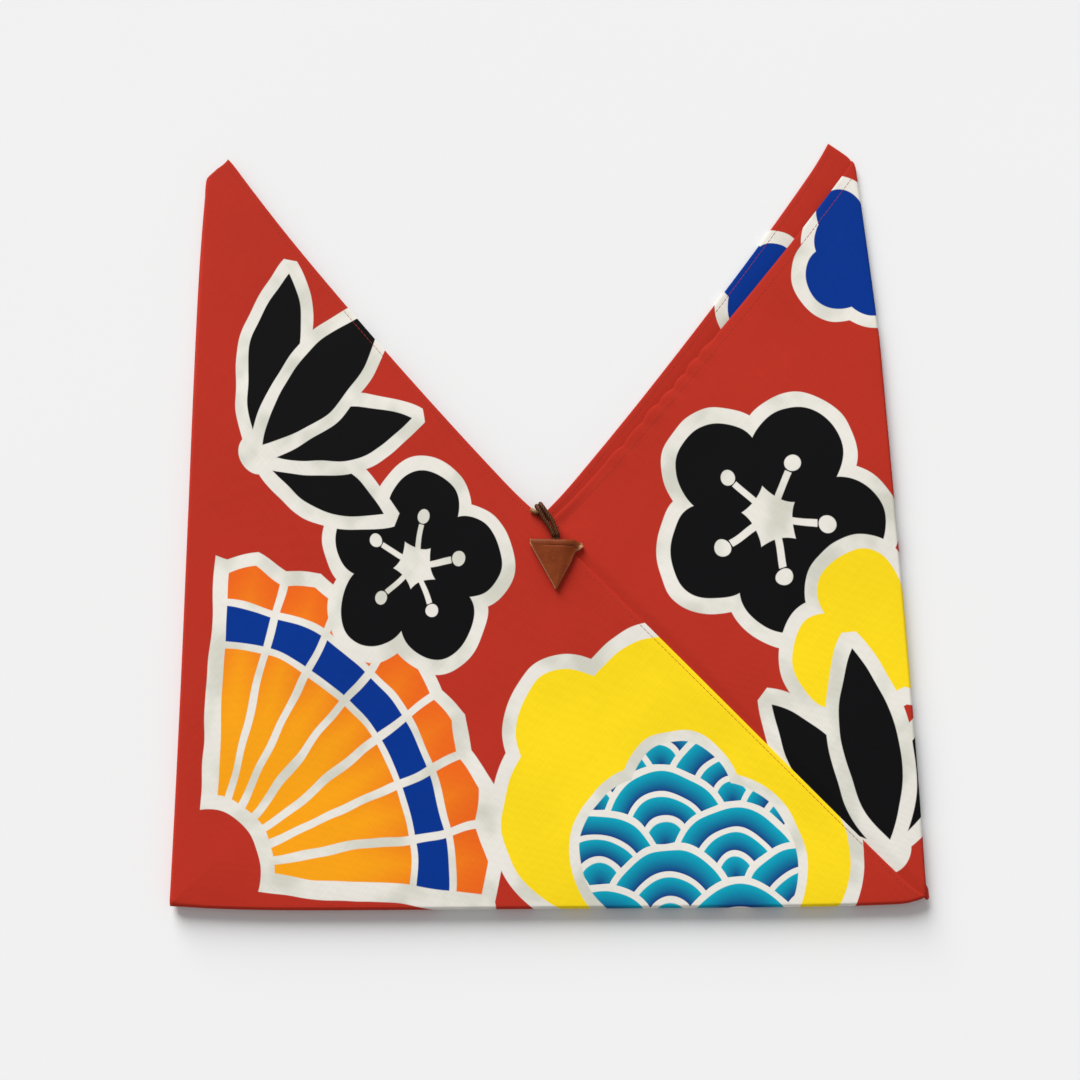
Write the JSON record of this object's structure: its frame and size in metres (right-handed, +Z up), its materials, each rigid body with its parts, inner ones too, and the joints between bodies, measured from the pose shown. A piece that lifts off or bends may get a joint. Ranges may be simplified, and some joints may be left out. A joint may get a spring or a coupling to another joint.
{
  "type": "bento bag",
  "caption": "Flat-folded cotton bento bag with a V mouth between pointed ears that knot into a handle, lapped diagonal seams, and a leather tag on a doubled cord.",
  "frame": {"origin": "on the surface the bag lies on, under the middle of the cloth's outline", "axes": "+X to the right along the bottom fold, +Y from the bottom fold towards the ears, +Z up out of the front panel"},
  "size_m": [0.4818, 0.515, 0.0182],
  "materials": {
    "cloth": "printed plain-weave cotton",
    "thread": "polyester sewing thread",
    "cord": "waxed braided cord",
    "leather": "vegetable-tanned leather with raw cut edges"
  },
  "bodies": {
    "pouch": {"front_main_panel": "cloth", "front_wing_panel": "cloth", "front_lap_seam": "cloth", "front_seam_stitching": "thread", "back_main_panel": "cloth", "back_wing_panel": "cloth", "back_lap_seam": "cloth", "back_seam_stitching": "thread", "bottom_fold_front": "cloth", "bottom_fold_back": "cloth", "left_fold_front": "cloth", "left_fold_back": "cloth", "right_fold_front": "cloth", "right_fold_back": "cloth", "cord_left_inner": "cord", "cord_right_inner": "cord", "cord_tail": "cord", "cord_tack": "thread"},
    "left_ear": {"left_ear_front": "cloth", "left_ear_front_hem": "cloth", "left_ear_front_stitching": "thread", "left_ear_back": "cloth", "left_ear_back_hem": "cloth", "left_ear_back_stitching": "thread", "left_ear_fold_front": "cloth", "left_ear_fold_back": "cloth"},
    "right_ear": {"right_ear_front": "cloth", "right_ear_front_hem": "cloth", "right_ear_front_stitching": "thread", "right_ear_back": "cloth", "right_ear_back_hem": "cloth", "right_ear_back_stitching": "thread", "right_ear_fold_front": "cloth", "right_ear_fold_back": "cloth"},
    "cord": {"cord_left_outer": "cord", "cord_right_outer": "cord", "cord_knot": "cord"},
    "tag": {"tag_leather": "leather"}
  },
  "joints": [
    {"name": "left_ear_fold", "type": "hinge", "parent": "pouch", "child": "left_ear", "pos_m": [-0.13, 0.0105, 0.0125], "axis": [1, 0, 0], "range_deg": [0, 175]},
    {"name": "right_ear_fold", "type": "hinge", "parent": "pouch", "child": "right_ear", "pos_m": [0.12, 0.0105, 0.0125], "axis": [1, 0, 0], "range_deg": [0, 175]},
    {"name": "cord_lift", "type": "hinge", "parent": "pouch", "child": "cord", "pos_m": [-0.00245, -0.00619, 0.0159], "axis": [-0.866, -0.5, 0], "range_deg": [0, 120]},
    {"name": "tag_swing", "type": "hinge", "parent": "cord", "child": "tag", "pos_m": [0.00545, -0.02644, 0.01525], "axis": [0, 0, 1], "range_deg": [-20, 20]}
  ]
}
